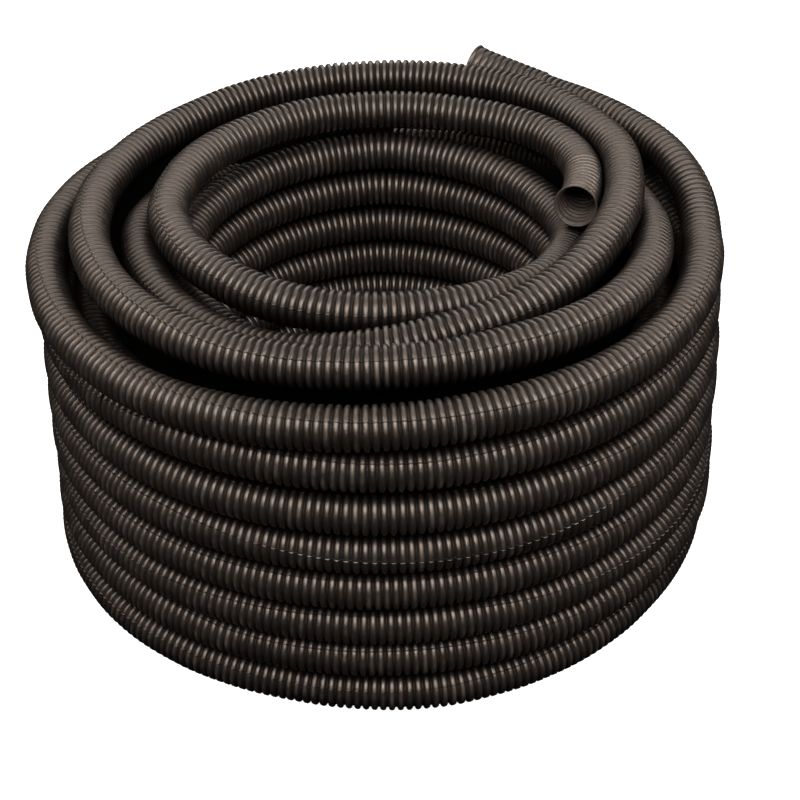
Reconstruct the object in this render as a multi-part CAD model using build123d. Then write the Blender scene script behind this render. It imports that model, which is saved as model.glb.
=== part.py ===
from build123d import *
import os
from math import radians, sin, cos

os.makedirs("parts", exist_ok=True)

# Conduit section, in millimetres
od = 20.0              # outside diameter over the ribs
valley_od = 17.2       # outside diameter in the valleys between ribs
wall = 0.6             # thickness of the moulded wall
rib_pitch = 4.0        # one rib and one valley
rib_flat = 1.7         # width of a rib's top
rib_slope = 0.35       # length of each flank

# Wound coil
columns = 4            # turns side by side
column_step = 22.0     # from one column of turns to the next
inner_r = 97.0         # centreline of the innermost turns
first_z = od / 2       # centreline of the lowest turns
outer_step = 20.7      # from one level to the next in the outermost column
outer_levels = 6       # wound levels of the outermost column, below its free turns
inner_step = 20.4      # same, innermost column
inner_levels = 7
middle_level = 6.5     # highest wound turn of the two columns between, in diameters
rest = 0.4             # clearance between the wound body and a free turn resting on it

outer_r = inner_r + (columns - 1) * column_step
outer_top_z = first_z + (outer_levels - 1) * outer_step
inner_top_z = first_z + (inner_levels - 1) * inner_step
middle_top_z = middle_level * od

# Free ends
end_length = 24.0      # straight stretch at each open end
end_gap = 0.2          # clearance between an open end and the turn behind it

# Wound body, round turns on a core that reaches their centrelines, turned about the coil's axis
rings = [(outer_r, first_z + i * outer_step) for i in range(outer_levels)]
rings += [(inner_r, first_z + i * inner_step) for i in range(inner_levels)]
rings += [(inner_r + c * column_step, z) for c in (1, 2) for z in (first_z, middle_top_z)]
core = Polyline(
    (inner_r, 0, first_z),
    (outer_r, 0, first_z),
    (outer_r, 0, outer_top_z),
    (inner_r + 2 * column_step, 0, middle_top_z),
    (inner_r + column_step, 0, middle_top_z),
    (inner_r, 0, inner_top_z),
    close=True,
)
section = make_face(core)
for r, z in rings:
    section += Plane(origin=(r, 0, z), x_dir=(1, 0, 0), z_dir=(0, -1, 0)) * Circle(od / 2)
wound = revolve(section, Axis.Z, 360)

# Point of a free turn: columns out from the innermost, angle, and height in diameters
def at(column, angle, level):
    r = inner_r + column * column_step
    return Vector(r * cos(radians(angle)), r * sin(radians(angle)), level * od)

# Heights at which the free turns lie on the wound ones, in diameters
low_in = (inner_top_z + od + rest) / od
low_mid = (middle_top_z + od + rest) / od
low_out = (outer_top_z + od + 2 * rest) / od

# Innermost free turn: from the open end on the right, round the top, under that end and once more round
mouth = at(-0.01, -7.5, 9.0)
mouth_dir = Vector(0.28, 0.945, -0.17).normalized()
turn_in = [
    (0.54, 27, 8.68), (0.7, 38, 8.76), (0.64, 47, 8.82), (0.44, 57, 8.88), (0.18, 72, 8.95),
    (0.05, 90, 8.96), (0.02, 134, 8.91), (0.14, 187, 8.92), (0.03, 235, 8.87), (0.02, 273, 8.79),
    (0.0, 300, 8.55), (-0.04, 325, 8.22), (-0.11, 342, 7.95), (0.0, 365, 7.68), (0.0, 390, low_in),
    (0.0, 450, low_in + 0.12), (0.0, 500, low_in + 0.1), (0.0, 560, low_in + 0.05), (0.0, 622, low_in),
]

# Crossing turn: up out of the second column, over on the right, and down into the third
turn_mid = [
    (1.0, 100, low_mid), (1.0, 125, low_mid + 0.06), (0.98, 155, 7.8), (0.85, 184, 8.05), (0.88, 215, 8.25),
    (0.98, 240, 8.48), (1.01, 275, 8.81), (0.92, 305, 9.0), (0.9, 330, 9.05), (1.03, 350, 9.07),
    (1.22, 366, 9.08), (1.5, 380, 9.07), (1.76, 399, 9.05), (1.95, 417, 9.03), (2.0, 440, 8.98),
    (2.0, 480, 8.78), (1.95, 515, 8.65), (1.9, 545, 8.61), (2.0, 600, 8.68), (2.0, 632, 8.75),
    (2.0, 655, 8.73), (1.96, 680, 8.53), (1.93, 700, 8.3), (1.95, 722, 8.0), (2.0, 745, 7.72),
    (2.0, 770, low_mid), (2.0, 835, low_mid),
]

# Outermost free turns: once round on the outer column, then up and round to the open end at the back
tail = at(3.09, 71, 9.0)
tail_dir = Vector(0.875, -0.435, -0.2).normalized()
turn_out = [
    (3.0, -82, low_out), (3.0, -40, low_out + 0.05), (3.0, 0, low_out + 0.2), (3.0, 60, low_out + 0.5),
    (3.0, 110, low_out + 0.7), (3.06, 150, 7.66), (3.08, 165, 7.7), (2.97, 188, 7.74), (2.92, 205, 7.72),
    (3.0, 236, 7.73), (3.0, 272, 7.92), (2.97, 310, 8.02), (2.9, 340, 7.98), (2.88, 354, 7.97),
    (2.96, 364, 8.07), (3.01, 377, 8.38), (2.99, 394, 8.55), (3.0, 406, 8.62),
]

# Column and height between the points of a free turn
def between(points, angle):
    angle = min(max(angle, points[0][1]), points[-1][1])
    for (c0, a0, z0), (c1, a1, z1) in zip(points, points[1:]):
        if angle <= a1:
            t = (angle - a0) / (a1 - a0)
            return c0 + t * (c1 - c0), z0 + t * (z1 - z0)

# Evenly spaced corners of a free turn, eased where its slope changes, and as far outside it as
# the arcs between them cut in
def corners(points, step=15, ease=9):
    first, last = points[0][1], points[-1][1]
    count = round((last - first) / step)
    result = []
    for i in range(count + 1):
        a = first + (last - first) * i / count
        samples = [between(points, a + k * ease) for k in (-1, 0, 0, 1)]
        column = sum(q[0] for q in samples) / 4
        level = sum(q[1] for q in samples) / 4
        on_turn = at(column, a, level)
        spread = 1 / cos(radians(step / 2))
        result.append(Vector(on_turn.X * spread, on_turn.Y * spread, on_turn.Z))
    return result

# Round tube along arcs that touch the sides of a run of corners at their middles
def tube(run):
    middles = [(p + q) / 2 for p, q in zip(run, run[1:])]
    heading = (run[1] - run[0]).normalized()
    arcs = []
    for p, q in zip(middles, middles[1:]):
        arc = TangentArc([p, q], tangent=heading).edges()[0]
        heading = arc % 1
        arcs.append(arc)
    path = Wire(arcs)
    first = Plane(origin=path @ 0, z_dir=path % 0)
    return sweep(first * Circle(od / 2), path=path).solids()[0]

# First two corners of a free turn, either side of the inner face of its open end
def behind(end, direction, half_side=13.0):
    root = end + direction * (end_length + end_gap)
    return [root - direction * half_side, root + direction * half_side]

free_in = tube(behind(mouth, mouth_dir) + corners(turn_in))
free_mid = tube(corners(turn_mid))
free_out = tube(behind(tail, tail_dir) + corners(turn_out)[::-1])

# Straight open end, cut through the tops of two ribs, with its ribs and valleys inside and out
def open_end():
    top = od / 2
    low = valley_od / 2
    half_flat = rib_flat / 2
    outside = [(top, 0.0)]
    for i in range(int(end_length / rib_pitch)):
        a = i * rib_pitch
        b = a + rib_pitch
        outside += [(top, a + half_flat), (low, a + half_flat + rib_slope)]
        outside += [(low, b - half_flat - rib_slope), (top, b - half_flat)]
    outside += [(top, end_length)]
    inside = [(r - wall, z) for r, z in outside]
    profile = Polyline([(r, 0, z) for r, z in outside + inside[::-1]], close=True)
    return revolve(make_face(profile), Axis.Z, 360).solids()[0]

end_in = Plane(origin=mouth, z_dir=mouth_dir) * open_end()
end_out = Plane(origin=tail, z_dir=tail_dir) * open_end()

solids = [wound.solids()[0], free_in, free_mid, free_out, end_in, end_out]
conduit = Compound(children=solids)
export_step(conduit, "parts/conduit.step")
for s in solids:
    print(round(s.volume / 1000, 2), "cm3", "valid", s.is_valid, "faces", len(s.faces()))
box = conduit.bounding_box()
print("size", box.size, "from", box.min)
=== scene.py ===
import math

import bmesh
import bpy
from mathutils import Matrix, Vector


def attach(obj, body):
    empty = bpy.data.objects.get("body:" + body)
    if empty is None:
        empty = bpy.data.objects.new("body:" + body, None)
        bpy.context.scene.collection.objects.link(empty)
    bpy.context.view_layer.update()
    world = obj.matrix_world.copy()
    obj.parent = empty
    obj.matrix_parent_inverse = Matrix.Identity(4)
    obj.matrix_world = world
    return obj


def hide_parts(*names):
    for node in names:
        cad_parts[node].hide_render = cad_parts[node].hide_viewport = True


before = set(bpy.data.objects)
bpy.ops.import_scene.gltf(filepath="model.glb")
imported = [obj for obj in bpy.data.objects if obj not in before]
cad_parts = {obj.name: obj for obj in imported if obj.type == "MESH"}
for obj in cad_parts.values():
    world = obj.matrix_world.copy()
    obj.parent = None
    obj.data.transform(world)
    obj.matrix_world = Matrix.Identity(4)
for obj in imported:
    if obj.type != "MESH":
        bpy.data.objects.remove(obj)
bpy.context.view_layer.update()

# Innermost column of turns. One length of black corrugated polyethylene conduit, blown in a
# mould in one piece, starts at the open end on the right and is wound down the inside of the
# coil. Its nine turns are pressed close together on the right and stand looser at the back.
MM = 0.001
CREST_R = 10.0
VALLEY_R = 8.5
RIB_PITCH = 3.85
WALL = 0.6
SIDES = 18
SIDES_AT_END = 36
RIBS_AT_END = 12
RIBS_A_MESH = 440
# Rings along one rib, from the start of its valley: how far along, and the radius there
VALLEY_WIDTH = 0.8
RIB_RINGS = (
    (0.0, VALLEY_R), (VALLEY_WIDTH, VALLEY_R), (1.15, 9.5),
    (1.8, CREST_R), (2.85, CREST_R), (3.5, 9.5),
)
# The conduit was cut through a rib, and the cut end has opened out a little
CUT_AT = 2.3
FLARE = 0.8
FLARE_LENGTH = 7.0
# Towards a cut end the ribs are stretched shallow over this length, down to this share of their depth
SHALLOW_LENGTH = 34.0
SHALLOW_SHARE = 0.3
INNER_R = 97.0
# Heights of the turns below the topmost one: at the back from the second turn down, at the right
# from the third
INNER_BACK = (155.9, 134.0, 112.1, 90.9, 70.3, 50.2, 30.1, 10.0)
INNER_RIGHT = (131.5, 110.8, 90.4, 70.2, 50.2, 30.1, 10.0)
# The topmost turn, from its open end: angle in degrees, radius and height
TOP_INNER_TURN = [
    (-8.9, 96.6, 179.6), (-4, 98.4, 179.0), (0, 100.2, 178.5), (7, 103.6, 177.7), (15, 107.8, 176.9),
    (23, 111.4, 176.2), (30, 113.4, 176.0), (37, 113.8, 176.2), (45, 112.0, 176.8), (54, 108.0, 177.6),
    (70, 101.5, 178.8), (88, 98.6, 179.1), (133, 97.4, 178.2), (170, 98.5, 178.2), (187, 100.6, 177.6),
    (205, 99.6, 176.5), (225, 98.0, 174.6), (240, 97.6, 173.4), (273, 97.4, 172.4), (288, 97.2, 171.5),
    (300, 97.0, 169.8), (325, 96.2, 164.6), (336, 94.2, 161.0), (347, 94.0, 157.2), (365, 97.2, 152.9),
    (385, 97.4, 152.0),
]


def mottled():
    """Uneven mask in the conduit's own coordinates, 0 below Low and 1 above High."""
    group = bpy.data.node_groups.new("mottled", "ShaderNodeTree")
    group.interface.new_socket("Vector", in_out="INPUT", socket_type="NodeSocketVector")
    for value in ("Scale", "Detail", "Low", "High"):
        group.interface.new_socket(value, in_out="INPUT", socket_type="NodeSocketFloat")
    group.interface.new_socket("Mask", in_out="OUTPUT", socket_type="NodeSocketFloat")
    nodes, links = group.nodes, group.links
    inlet = nodes.new("NodeGroupInput")
    outlet = nodes.new("NodeGroupOutput")
    noise = nodes.new("ShaderNodeTexNoise")
    spread = nodes.new("ShaderNodeMapRange")
    for value in ("Vector", "Scale", "Detail"):
        links.new(inlet.outputs[value], noise.inputs[value])
    links.new(inlet.outputs["Low"], spread.inputs["From Min"])
    links.new(inlet.outputs["High"], spread.inputs["From Max"])
    links.new(noise.outputs["Fac"], spread.inputs["Value"])
    links.new(spread.outputs["Result"], outlet.inputs["Mask"])
    return group


def mould_line():
    """Mask of the two lines that the halves of the mould leave along the conduit."""
    group = bpy.data.node_groups.new("mould_line", "ShaderNodeTree")
    group.interface.new_socket("UV", in_out="INPUT", socket_type="NodeSocketVector")
    group.interface.new_socket("Width", in_out="INPUT", socket_type="NodeSocketFloat")
    group.interface.new_socket("Line", in_out="OUTPUT", socket_type="NodeSocketFloat")
    nodes, links = group.nodes, group.links
    inlet = nodes.new("NodeGroupInput")
    outlet = nodes.new("NodeGroupOutput")
    split = nodes.new("ShaderNodeSeparateXYZ")
    links.new(inlet.outputs["UV"], split.inputs["Vector"])
    wander = nodes.new("ShaderNodeTexNoise")
    wander.noise_dimensions = "1D"
    wander.inputs["Scale"].default_value = 0.012
    wander.inputs["Detail"].default_value = 1.0
    links.new(split.outputs["Y"], wander.inputs["W"])
    wander_share = 0.4
    least_turned = 0.16
    shift = math_node(nodes, links, "MULTIPLY_ADD", wander.outputs["Fac"], wander_share, least_turned)
    turned = math_node(nodes, links, "SUBTRACT", split.outputs["X"], shift)
    doubled = math_node(nodes, links, "MULTIPLY", turned, 2.0)
    across = math_node(nodes, links, "PINGPONG", doubled, 0.5)
    near = nodes.new("ShaderNodeMapRange")
    near.inputs["To Min"].default_value = 1.0
    near.inputs["To Max"].default_value = 0.0
    links.new(across, near.inputs["Value"])
    links.new(inlet.outputs["Width"], near.inputs["From Max"])
    links.new(near.outputs["Result"], outlet.inputs["Line"])
    return group


def math_node(nodes, links, operation, *values):
    """One sum of a material; its values are other sockets or plain numbers."""
    node = nodes.new("ShaderNodeMath")
    node.operation = operation
    for socket, value in zip(node.inputs, values):
        if isinstance(value, (int, float)):
            socket.default_value = value
        else:
            links.new(value, socket)
    return node.outputs["Value"]


def colour_mix(nodes, links, factor, first, second):
    """Blend of two colours by a mask."""
    node = nodes.new("ShaderNodeMix")
    node.data_type = "RGBA"
    links.new(factor, node.inputs["Factor"])
    for socket, value in ((node.inputs["A"], first), (node.inputs["B"], second)):
        if isinstance(value, tuple):
            socket.default_value = value
        else:
            links.new(value, socket)
    return node.outputs["Result"]


MOTTLED = mottled()
MOULD_LINE = mould_line()


def black_plastic(name, groove_share, painted_light_at_cut, gap):
    """Black moulded polyethylene: soft sheen, brown tinge, dust on top, scuffed rib tops, dull grooves,
    painted shade in grooves and gaps.

    The dullness and painted shade of the grooves, and the painted light near a cut end, are shares from 0
    to 1. The gap is how near another turn has to lie, in millimetres, for painted shade to darken the skin
    between them.
    """
    deep = (0.003, 0.0024, 0.0021, 1.0)
    worn = (0.008, 0.0064, 0.0054, 1.0)
    # Dust colour, also laid on near a cut end as painted light
    dust_and_cut_light = (0.09, 0.075, 0.065, 1.0)
    pale_scuff = (0.08, 0.067, 0.058, 1.0)
    pale_line = (0.2, 0.172, 0.152, 1.0)
    # Black of the painted shade in the grooves
    painted_groove_shade = (0.004, 0.0033, 0.003, 1.0)
    # Black of the painted shade between turns
    painted_gap_shade = (0.002, 0.0017, 0.0015, 1.0)
    material = bpy.data.materials.new(name)
    material.use_nodes = True
    nodes, links = material.node_tree.nodes, material.node_tree.links
    shader = nodes["Principled BSDF"]
    place = nodes.new("ShaderNodeTexCoord").outputs["Object"]
    uv = nodes.new("ShaderNodeTexCoord").outputs["UV"]
    split = nodes.new("ShaderNodeSeparateXYZ")
    links.new(uv, split.inputs["Vector"])
    along = split.outputs["Y"]

    def mask(**values):
        node = nodes.new("ShaderNodeGroup")
        node.node_tree = MOTTLED
        links.new(place, node.inputs["Vector"])
        for key, value in values.items():
            node.inputs[key].default_value = value
        return node.outputs["Mask"]

    def sum_of(operation, *values):
        return math_node(nodes, links, operation, *values)

    def blend_of(factor, first, second):
        return colour_mix(nodes, links, factor, first, second)

    clouds = mask(Scale=14.0, Detail=3.0, Low=0.35, High=0.65)
    specks = mask(Scale=260.0, Detail=4.0, Low=0.45, High=0.75)
    grain = mask(Scale=2600.0, Detail=2.0, Low=0.3, High=0.7)
    rubbed = mask(Scale=90.0, Detail=5.0, Low=0.5, High=0.68)
    one_rib = nodes.new("ShaderNodeTexWhiteNoise")
    one_rib.noise_dimensions = "1D"
    links.new(sum_of("FLOOR", along), one_rib.inputs["W"])
    this_rib = one_rib.outputs["Value"]
    mould = nodes.new("ShaderNodeGroup")
    mould.node_tree = MOULD_LINE
    mould.inputs["Width"].default_value = 0.012
    links.new(uv, mould.inputs["UV"])
    line = mould.outputs["Line"]

    # How far from the middle of the valley, as a share of a rib, and masks of the rib's top and its groove
    valley_middle = VALLEY_WIDTH / 2 / RIB_PITCH
    top_from = 0.34
    from_valley = sum_of("PINGPONG", sum_of("SUBTRACT", along, valley_middle), 0.5)
    rib_top = sum_of("GREATER_THAN", from_valley, top_from)
    shade = nodes.new("ShaderNodeMapRange")
    shade.inputs["From Min"].default_value = 0.1
    shade.inputs["From Max"].default_value = 0.3
    shade.inputs["To Min"].default_value = 1.0
    shade.inputs["To Max"].default_value = 0.0
    links.new(from_valley, shade.inputs["Value"])
    # The groove mask lays painted shade on the colour and sheen, and also makes the skin rougher
    groove = sum_of("MULTIPLY", shade.outputs["Result"], groove_share)
    # How open the surface lies: painted shade makes the narrow gaps between turns dull black
    # Ambient occlusion finds where another turn lies near, and there colour and sheen are painted over with
    # shade
    crevice = nodes.new("ShaderNodeAmbientOcclusion")
    crevice.samples = 4
    crevice.inputs["Distance"].default_value = gap * MM
    opened = nodes.new("ShaderNodeMapRange")
    opened.inputs["From Min"].default_value = 0.25
    opened.inputs["From Max"].default_value = 0.75
    links.new(crevice.outputs["AO"], opened.inputs["Value"])
    unshaded_share = opened.outputs["Result"]

    # Colour, from cloudy brown-black to dust, painted light near a cut end, scuffs and mould lines, then
    # painted shade in the grooves and gaps
    rib_to_rib = 0.35
    cloudy = 0.6
    tone = sum_of("MULTIPLY_ADD", clouds, cloudy, sum_of("MULTIPLY", this_rib, rib_to_rib))
    body = blend_of(tone, deep, worn)
    upward = nodes.new("ShaderNodeSeparateXYZ")
    links.new(nodes.new("ShaderNodeNewGeometry").outputs["Normal"], upward.inputs["Vector"])
    lies = sum_of("MAXIMUM", upward.outputs["Z"], 0.0)
    dust_in_specks = 0.16
    dust_at_least = 0.05
    dusting = sum_of("MULTIPLY_ADD", specks, dust_in_specks, dust_at_least)
    # Painted light: near a cut end the dust colour is laid on more thickly, fading over the end's ribs, so
    # that the end and the inside of its mouth look lit
    painted_cut_light = sum_of("MULTIPLY_ADD", along, -painted_light_at_cut / RIBS_AT_END, painted_light_at_cut)
    dusted_and_lit_at_cut = blend_of(sum_of("MULTIPLY_ADD", lies, dusting, painted_cut_light), body, dust_and_cut_light)
    scuff_strength = 0.22
    scuffs = sum_of("MULTIPLY", sum_of("MULTIPLY", rubbed, rib_top), scuff_strength)
    scuffed = blend_of(scuffs, dusted_and_lit_at_cut, pale_scuff)
    line_strength = 0.26
    raised = sum_of("MULTIPLY", sum_of("MULTIPLY", line, rib_top), line_strength)
    lined = blend_of(raised, scuffed, pale_line)
    # Painted shade: the grooves are darkened towards black
    groove_strength = 0.7
    hollowed = blend_of(sum_of("MULTIPLY", groove, groove_strength), lined, painted_groove_shade)
    # Painted shade: the gaps between turns are darkened to near black
    links.new(blend_of(unshaded_share, painted_gap_shade, hollowed), shader.inputs["Base Color"])

    # Sheen, duller in specks, scuffs and grooves, and lowered in the grooves and taken away in the gaps as
    # painted shade
    smoothest = 0.29
    rough = sum_of("MULTIPLY_ADD", specks, 0.1, smoothest)
    rough = sum_of("MULTIPLY_ADD", rubbed, 0.1, rough)
    rough = sum_of("MULTIPLY_ADD", this_rib, 0.06, rough)
    rough = sum_of("MULTIPLY_ADD", groove, 0.18, rough)
    links.new(rough, shader.inputs["Roughness"])
    full_sheen = 0.5
    lost_in_groove = 0.3
    sheen = sum_of("MULTIPLY_ADD", groove, -lost_in_groove, full_sheen)
    # Painted shade: the sheen is taken away in the gaps
    links.new(sum_of("MULTIPLY", sheen, unshaded_share), shader.inputs["Specular IOR Level"])
    shader.inputs["Specular Tint"].default_value = (1.0, 0.87, 0.79, 1.0)

    # Raised mould lines and fine grain
    lip = nodes.new("ShaderNodeBump")
    lip.inputs["Distance"].default_value = 0.35 * MM
    lip.inputs["Strength"].default_value = 0.8
    links.new(line, lip.inputs["Height"])
    skin = nodes.new("ShaderNodeBump")
    skin.inputs["Distance"].default_value = 0.05 * MM
    skin.inputs["Strength"].default_value = 0.5
    specks_on_grain = 1.5
    links.new(sum_of("MULTIPLY_ADD", specks, specks_on_grain, grain), skin.inputs["Height"])
    links.new(lip.outputs["Normal"], skin.inputs["Normal"])
    links.new(skin.outputs["Normal"], shader.inputs["Normal"])
    return material


conduit_black = black_plastic("black_plastic", groove_share=1.0, painted_light_at_cut=0.0, gap=45)
# The open mouth at the inner end gets painted light
inner_end_black = black_plastic("black_plastic_at_the_inner_end", groove_share=0.45, painted_light_at_cut=0.26, gap=5)
outer_end_black = black_plastic("black_plastic_at_the_outer_end", groove_share=0.7, painted_light_at_cut=0.0, gap=5)


def route(name, points, step=12):
    """Centreline of a stretch of the winding, from its angles, radii and heights."""
    spaced = []
    for (a0, r0, z0), (a1, r1, z1) in zip(points, points[1:]):
        count = max(1, round((a1 - a0) / step))
        for i in range(count):
            t = i / count
            spaced.append((a0 + t * (a1 - a0), r0 + t * (r1 - r0), z0 + t * (z1 - z0)))
    spaced.append(points[-1])
    data = bpy.data.curves.new(name, "CURVE")
    data.dimensions = "3D"
    data.twist_mode = "Z_UP"
    data.resolution_u = 6
    spline = data.splines.new("BEZIER")
    spline.bezier_points.add(len(spaced) - 1)
    for knot, (angle, radius, height) in zip(spline.bezier_points, spaced):
        turn = math.radians(angle)
        knot.co = Vector((radius * math.cos(turn), radius * math.sin(turn), height)) * MM
        knot.handle_left_type = "AUTO"
        knot.handle_right_type = "AUTO"
    curve = bpy.data.objects.new(name, data)
    bpy.context.collection.objects.link(curve)
    return curve


def wall_mesh(name, rings, sides, first_v):
    """Skin of the conduit along X, one ring of points after another."""
    bm = bmesh.new()
    uv = bm.loops.layers.uv.new("UVMap")
    bmesh.ops.create_circle(bm, segments=sides, radius=1.0)
    start, last_radius = rings[0]
    for v in bm.verts:
        v.co = Vector((start, v.co.x * last_radius, v.co.y * last_radius)) * MM
    edges = bm.edges[:]
    for at, radius in rings[1:]:
        grown = bmesh.ops.extrude_edge_only(bm, edges=edges)
        edges = [g for g in grown["geom"] if isinstance(g, bmesh.types.BMEdge)]
        for v in grown["geom"]:
            if isinstance(v, bmesh.types.BMVert):
                v.co = Vector((at * MM, v.co.y * radius / last_radius, v.co.z * radius / last_radius))
        last_radius = radius
    bmesh.ops.recalc_face_normals(bm, faces=bm.faces[:])
    for face in bm.faces:
        middle = face.calc_center_median()
        whole = math.atan2(middle.z, middle.y) / (2 * math.pi)
        for loop in face.loops:
            u = math.atan2(loop.vert.co.z, loop.vert.co.y) / (2 * math.pi)
            u += round(whole - u)
            loop[uv].uv = (u, first_v + (loop.vert.co.x / MM - start) / RIB_PITCH)
    mesh = bpy.data.meshes.new(name)
    bm.to_mesh(mesh)
    bm.free()
    return mesh


def laid_out(name, mesh, curve, plastic, ribs=1, wall=0.0):
    """Rib after rib of a skin laid along the winding and made the conduit's own piece."""
    straight = bpy.data.objects.new(name, mesh)
    bpy.context.collection.objects.link(straight)
    if ribs > 1:
        array = straight.modifiers.new("ribs", "ARRAY")
        array.count = ribs
        array.use_relative_offset = False
        array.use_constant_offset = True
        array.constant_offset_displace = (RIB_PITCH * MM, 0, 0)
        array.use_merge_vertices = True
        array.merge_threshold = 0.05 * MM
        array.offset_v = 1.0
    if wall:
        shell = straight.modifiers.new("wall", "SOLIDIFY")
        shell.thickness = wall * MM
        shell.offset = -1
    bend = straight.modifiers.new("winding", "CURVE")
    bend.object = curve
    bend.deform_axis = "POS_X"
    bpy.context.view_layer.update()
    wound = straight.evaluated_get(bpy.context.evaluated_depsgraph_get())
    finished = bpy.data.meshes.new_from_object(wound)
    bpy.data.objects.remove(straight)
    bm = bmesh.new()
    bm.from_mesh(finished)
    bmesh.ops.holes_fill(bm, edges=[e for e in bm.edges if e.is_boundary], sides=0)
    bmesh.ops.recalc_face_normals(bm, faces=bm.faces[:])
    # The skin's four-sided faces are smooth, the flat ends of a stretch aren't
    for face in bm.faces:
        face.smooth = len(face.verts) < 5
    bm.to_mesh(finished)
    bm.free()
    finished.name = name
    finished.materials.clear()
    finished.materials.append(plastic)
    piece = bpy.data.objects.new(name, finished)
    bpy.context.collection.objects.link(piece)
    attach(piece, "root")
    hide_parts("conduit")
    return piece


def ribs_on(curve):
    """How many whole ribs fit on a route."""
    return int(curve.data.splines[0].calc_length() / (RIB_PITCH * MM))


def wind(name, curve, first, last):
    """Lay the ribs from first to last along a route, in a few meshes."""
    meshes = math.ceil((last - first) / RIBS_A_MESH)
    for i in range(meshes):
        start = first + (last - first) * i // meshes
        stop = first + (last - first) * (i + 1) // meshes
        rings = [(start * RIB_PITCH + at, radius) for at, radius in RIB_RINGS]
        rings.append(((start + 1) * RIB_PITCH, VALLEY_R))
        unit = wall_mesh(name, rings, SIDES, start)
        laid_out("%s_%d" % (name, i + 1), unit, curve, conduit_black, ribs=stop - start)


def open_end(name, curve, end_at, inward, plastic):
    """Hollow end of the conduit from its cut, for a dozen ribs."""
    rings = []
    for rib in range(RIBS_AT_END):
        rings += [(rib * RIB_PITCH + at, radius) for at, radius in RIB_RINGS]
    rings.append((RIBS_AT_END * RIB_PITCH, VALLEY_R))
    cut = [(CUT_AT, CREST_R)] + [ring for ring in rings if ring[0] > CUT_AT]
    opened = []
    for at, radius in cut:
        near = max(0.0, 1 - (at - CUT_AT) / FLARE_LENGTH)
        depth = min(1.0, SHALLOW_SHARE + (at - CUT_AT) / SHALLOW_LENGTH)
        opened.append((end_at + inward * at, CREST_R - (CREST_R - radius) * depth + FLARE * near * near))
    skin = wall_mesh(name, opened, SIDES_AT_END, 0)
    laid_out(name, skin, curve, plastic, wall=WALL)


# Angle at which each turn passes the back, and the one at which the lowest turn stops
BACK_AT = 86
LAST_INNER_ANGLE = 360 * 9 - 20
inner_points = list(TOP_INNER_TURN)
inner_points.append((360 + BACK_AT, INNER_R, INNER_BACK[0]))
for turn, (right, back) in enumerate(zip(INNER_RIGHT, INNER_BACK[1:]), start=2):
    inner_points.append((360 * turn, INNER_R, right))
    inner_points.append((360 * turn + BACK_AT, INNER_R, back))
inner_points.append((LAST_INNER_ANGLE, INNER_R, CREST_R))
inner_route = route("inner_column_route", inner_points)
open_end("inner_open_end", inner_route, 0.0, 1, inner_end_black)
wind("inner_column", inner_route, RIBS_AT_END, ribs_on(inner_route))
bpy.data.objects.remove(inner_route)

# Turns of the two columns between. The same conduit comes up in the second column, climbs over
# on the right, where it lies against the innermost turn, and goes down again in the third. Of
# the turns below, only those at the gaps between the upper ones can be seen.
MIDDLE_TURNS = [
    (60, 119.0, 130.0), (95, 119.0, 132.0), (120, 119.0, 137.0), (140, 119.0, 144.0), (155, 118.4, 151.0),
    (178, 116.4, 157.6), (187, 115.0, 158.6), (198, 114.8, 159.2), (215, 116.2, 159.6), (233, 118.3, 159.6),
    (244, 119.0, 160.2), (253, 119.2, 161.6), (262, 119.4, 164.8), (271, 119.4, 168.2), (279, 119.2, 170.6),
    (289, 118.6, 173.2), (300, 117.8, 174.8), (310, 117.0, 176.6), (322, 116.4, 178.8), (337, 116.2, 180.6),
    (345, 117.4, 181.2), (351, 118.8, 181.4), (366, 123.2, 181.6), (380, 130.0, 181.5), (390, 132.6, 181.2),
    (398, 135.2, 181.0), (405, 137.4, 181.0), (417, 140.0, 180.6), (440, 141.2, 179.2), (465, 141.2, 177.2),
    (480, 141.0, 175.4), (495, 140.6, 173.2), (515, 140.0, 171.9), (541, 138.4, 171.6), (560, 138.8, 171.4),
    (600, 141.0, 171.4), (612, 141.0, 171.8), (632, 141.0, 173.4), (655, 141.0, 174.4), (680, 140.2, 172.2),
    (695, 137.6, 169.8), (708, 135.2, 167.2), (722, 133.2, 164.2), (738, 131.4, 160.4), (755, 130.0, 154.4),
    (780, 131.0, 146.4), (810, 136.0, 140.0), (840, 141.0, 137.0), (900, 141.5, 134.0), (925, 143.5, 132.6),
    (950, 142.5, 132.0), (980, 141.0, 130.0), (1080, 141.0, 129.0), (1170, 141.0, 124.0),
    (1300, 141.0, 120.5),
]
middle_route = route("middle_turns_route", MIDDLE_TURNS)
wind("middle_turns", middle_route, 0, ribs_on(middle_route))
bpy.data.objects.remove(middle_route)

# Outermost column of turns. The same conduit again, wound up the outside of the coil in eight
# turns that bulge at half height on the front; the last one leaves the column at the right and
# runs over the back to its open end.
OUTER_R = 163.0
# Heights of the turns at the front, from the lowest up
OUTER_FRONT = (10.0, 30.8, 49.9, 70.8, 91.9, 113.4, 136.8)
# How far each turn sits out from the column's radius: at the left and the right from the lowest
# turn up, at the front from the second turn up
OUT_AT_LEFT = (-3.0, -3.4, -4.6, -4.6, -5.2, -6.0, -6.8)
OUT_AT_RIGHT = (0.8, 3.4, 2.6, 0.4, 0.4, -0.8)
OUT_AT_FRONT = (0.4, 0.0, 0.0, 0.0, 0.0, 0.0)
# The lowest turn near the front: how far round from the front, and how far out
LOWEST_TURN = ((-50, -0.2), (-17, -0.4), (6, 2.2), (25, 1.0), (50, -0.9))
# Angle of the front, and how far on from it a turn is at the right, the back and the left
FRONT = 272
FROM_FRONT = (88, 178, 268)
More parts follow.
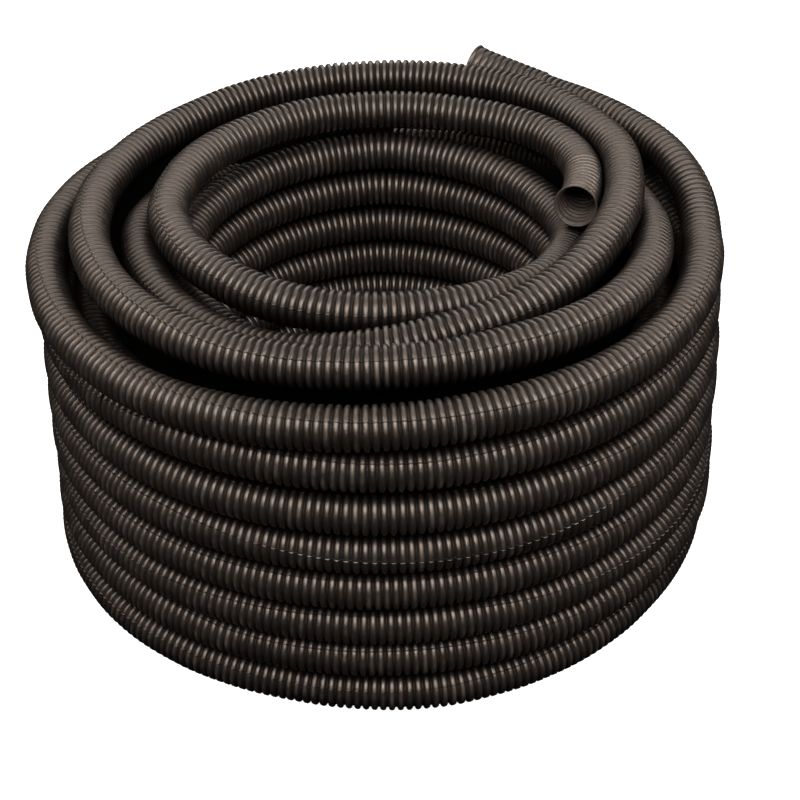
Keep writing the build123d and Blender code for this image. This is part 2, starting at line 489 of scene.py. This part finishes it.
# How much of the step to the next turn is climbed at those three places
CLIMBED = (0.05, 0.5, 0.95)
LAST_OUTER_TURN = [
    (-10, 160.4, 138.0), (8, 160.4, 139.5), (35, 161.5, 150.4), (60, 162.6, 152.2), (90, 162.8, 152.5),
    (130, 161.6, 153.5), (150, 161.9, 154.6), (165, 162.0, 154.9), (180, 161.2, 154.9), (197, 160.8, 154.8),
    (210, 161.8, 154.4), (233, 162.9, 154.2), (272, 162.9, 158.3), (288, 162.9, 160.0), (310, 162.2, 160.4),
    (335, 160.2, 159.6), (350, 159.8, 159.0), (358, 160.2, 158.8), (364, 161.8, 161.2), (370, 163.2, 164.4),
    (377, 163.4, 168.4), (385, 163.8, 170.4), (394, 163.5, 171.2), (404, 162.9, 172.2), (413, 163.2, 172.6),
    (422, 164.6, 175.2), (431.5, 168.8, 179.4),
]
first_front = FRONT - 360 * len(OUTER_FRONT)
outer_points = [(first_front + FROM_FRONT[2] - 360, OUTER_R + OUT_AT_LEFT[0], CREST_R)]
for turn, height in enumerate(OUTER_FRONT):
    front = first_front + 360 * turn
    if turn:
        outer_points.append((front, OUTER_R + OUT_AT_FRONT[turn - 1], height))
    else:
        outer_points += [(front + on, OUTER_R + out, height) for on, out in LOWEST_TURN]
    if turn < len(OUTER_FRONT) - 1:
        above = OUTER_FRONT[turn + 1]
        out_at = (OUT_AT_RIGHT[turn], 0.0, OUT_AT_LEFT[turn + 1])
        for on, out, share in zip(FROM_FRONT, out_at, CLIMBED):
            outer_points.append((front + on, OUTER_R + out, height + (above - height) * share))
outer_points += LAST_OUTER_TURN
outer_route = route("outer_column_route", outer_points)
outer_ribs = ribs_on(outer_route)
wind("outer_column", outer_route, 0, outer_ribs - RIBS_AT_END)
open_end("outer_open_end", outer_route, outer_ribs * RIB_PITCH, -1, outer_end_black)
bpy.data.objects.remove(outer_route)

# Hidden turns. Inside the coil the turns lie too close for their ribs to show, so those of the two middle
# columns are one plain ring, painted near black and without sheen as the shade between them, where no light
# gets in. It lies loose in the coil like every turn.
CORE_CORNERS = ((104, 5), (156, 5), (156, 122), (150, 128), (112, 139), (104, 139))
# How much higher each of them lies at the back, where the turns on top are piled up
PILED_UP = (0, 0, 16, 26, 9, 9)
HIGHEST_AT = math.radians(112)
CORE_STEPS = 72
ON_START = 1e-6
raised_by = {z: lift for (r, z), lift in zip(CORE_CORNERS, PILED_UP)}
bm = bmesh.new()
bm.faces.new([bm.verts.new(Vector((r, 0, z)) * MM) for r, z in CORE_CORNERS])
round_z = {"cent": (0, 0, 0), "axis": (0, 0, 1), "angle": 2 * math.pi}
bmesh.ops.spin(bm, geom=bm.faces[:], steps=CORE_STEPS, use_merge=True, **round_z)
inside = [f for f in bm.faces if all(abs(v.co.y) < ON_START and v.co.x > 0 for v in f.verts)]
bmesh.ops.delete(bm, geom=inside, context="FACES_ONLY")
for v in bm.verts:
    facing = max(0.0, math.cos(math.atan2(v.co.y, v.co.x) - HIGHEST_AT))
    v.co.z += raised_by[round(v.co.z / MM)] * MM * math.sqrt(facing)
bmesh.ops.recalc_face_normals(bm, faces=bm.faces[:])
ring_mesh = bpy.data.meshes.new("hidden_turns")
bm.to_mesh(ring_mesh)
bm.free()
hidden_turns = bpy.data.objects.new("hidden_turns", ring_mesh)
bpy.context.collection.objects.link(hidden_turns)
unlit_black = bpy.data.materials.new("painted_shade_inside_the_coil")
unlit_black.use_nodes = True
plain = unlit_black.node_tree.nodes["Principled BSDF"]
# Painted shade: near black and without sheen
plain.inputs["Base Color"].default_value = (0.0008, 0.0007, 0.0006, 1.0)
plain.inputs["Roughness"].default_value = 0.7
plain.inputs["Specular IOR Level"].default_value = 0.0
hidden_turns.data.materials.append(unlit_black)
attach(hidden_turns, "root")
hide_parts("conduit")

# Floor. The coil stands loose on a sweep of white paper, lit so brightly that its shadow hardly
# shows. The coil itself sees dark paper, as its undersides are black in a real picture.
bm = bmesh.new()
bmesh.ops.create_grid(bm, x_segments=1, y_segments=1, size=6.0)
floor_mesh = bpy.data.meshes.new("floor")
bm.to_mesh(floor_mesh)
bm.free()
floor = bpy.data.objects.new("floor", floor_mesh)
bpy.context.collection.objects.link(floor)
paper = bpy.data.materials.new("white_floor")
paper.use_nodes = True
nodes, links = paper.node_tree.nodes, paper.node_tree.links
dark = nodes["Principled BSDF"]
dark.inputs["Base Color"].default_value = (0.008, 0.008, 0.008, 1.0)
dark.inputs["Roughness"].default_value = 0.9
dark.inputs["Specular IOR Level"].default_value = 0.0
lit = nodes.new("ShaderNodeBsdfDiffuse")
lit.inputs["Color"].default_value = (0.5, 0.5, 0.5, 1.0)
glow = nodes.new("ShaderNodeEmission")
glow.inputs["Strength"].default_value = 0.85
seen = nodes.new("ShaderNodeAddShader")
blend = nodes.new("ShaderNodeMixShader")
ray = nodes.new("ShaderNodeLightPath")
links.new(lit.outputs[0], seen.inputs[0])
links.new(glow.outputs[0], seen.inputs[1])
links.new(ray.outputs["Is Camera Ray"], blend.inputs["Fac"])
links.new(dark.outputs[0], blend.inputs[1])
links.new(seen.outputs[0], blend.inputs[2])
links.new(blend.outputs[0], nodes["Material Output"].inputs["Surface"])
floor.data.materials.append(paper)

# Light. A dim even room, one large soft light high in front, weaker ones at the sides, above and
# behind, and a narrow low one, so that the turns are bright on top and black in the gaps.
WARM = (1.0, 0.94, 0.885)
AIMED_AT = Vector((0, 0, 0.1))
world = bpy.data.worlds.new("studio")
bpy.context.scene.world = world
world.use_nodes = True
nodes, links = world.node_tree.nodes, world.node_tree.links
room = nodes["Background"]
room.inputs["Color"].default_value = (1.0, 0.97, 0.94, 1.0)
room.inputs["Strength"].default_value = 0.009
white = nodes.new("ShaderNodeBackground")
white.inputs["Strength"].default_value = 1.0
blend = nodes.new("ShaderNodeMixShader")
ray = nodes.new("ShaderNodeLightPath")
links.new(ray.outputs["Is Camera Ray"], blend.inputs["Fac"])
links.new(room.outputs[0], blend.inputs[1])
links.new(white.outputs[0], blend.inputs[2])
links.new(blend.outputs[0], nodes["World Output"].inputs["Surface"])


def soft_light(name, place, size, power):
    """Large warm panel aimed at the middle of the coil."""
    data = bpy.data.lights.new(name, "AREA")
    data.shape = "RECTANGLE"
    data.size, data.size_y = size
    data.energy = power
    data.color = WARM
    lamp = bpy.data.objects.new(name, data)
    lamp.location = place
    lamp.rotation_euler = (AIMED_AT - Vector(place)).to_track_quat("-Z", "Y").to_euler()
    bpy.context.collection.objects.link(lamp)


soft_light("front", (0.0, -1.0, 1.25), (1.4, 0.85), 56)
soft_light("left", (-1.1, -0.5, 1.15), (0.9, 0.9), 18)
soft_light("right", (1.1, -0.5, 1.15), (0.9, 0.9), 20)
soft_light("overhead", (0.0, 0.25, 1.45), (1.4, 0.9), 10)
soft_light("back", (0.0, 1.2, 1.0), (1.6, 0.8), 13)

# Grazes over the front of the outer turns onto the higher ones behind them
GRAZING = Vector((-0.3, 1.22, -0.258))
low_data = bpy.data.lights.new("low", "SPOT")
low_data.energy = 14
low_data.color = WARM
low_data.spot_size = math.radians(12.6)
low_data.spot_blend = 0.25
low_data.shadow_soft_size = 0.1
low_light = bpy.data.objects.new("low", low_data)
low_light.location = (0.3, -1.27, 0.52)
low_light.rotation_euler = GRAZING.to_track_quat("-Z", "Y").to_euler()
bpy.context.collection.objects.link(low_light)

# Camera. Close to the coil, in front of it and above it, looking down into its bore.
CAMERA_AT = Vector((3.53, -703.38, 550.3)) * MM
PITCH = math.radians(34.99)
YAW = 0.0113
ROLL = 0.0045
FOCAL_PX = 1621.0
PICTURE_PX = 800
camera_data = bpy.data.cameras.new("camera")
camera_data.sensor_width = 36.0
camera_data.lens = FOCAL_PX * camera_data.sensor_width / PICTURE_PX
camera = bpy.data.objects.new("camera", camera_data)
ahead = Vector((math.sin(YAW) * math.cos(PITCH), math.cos(YAW) * math.cos(PITCH), -math.sin(PITCH)))
level = ahead.to_track_quat("-Z", "Y").to_matrix().to_4x4()
camera.matrix_world = Matrix.Translation(CAMERA_AT) @ level @ Matrix.Rotation(-ROLL, 4, "Z")
bpy.context.collection.objects.link(camera)
bpy.context.scene.camera = camera
bpy.context.scene.view_settings.view_transform = "Standard"
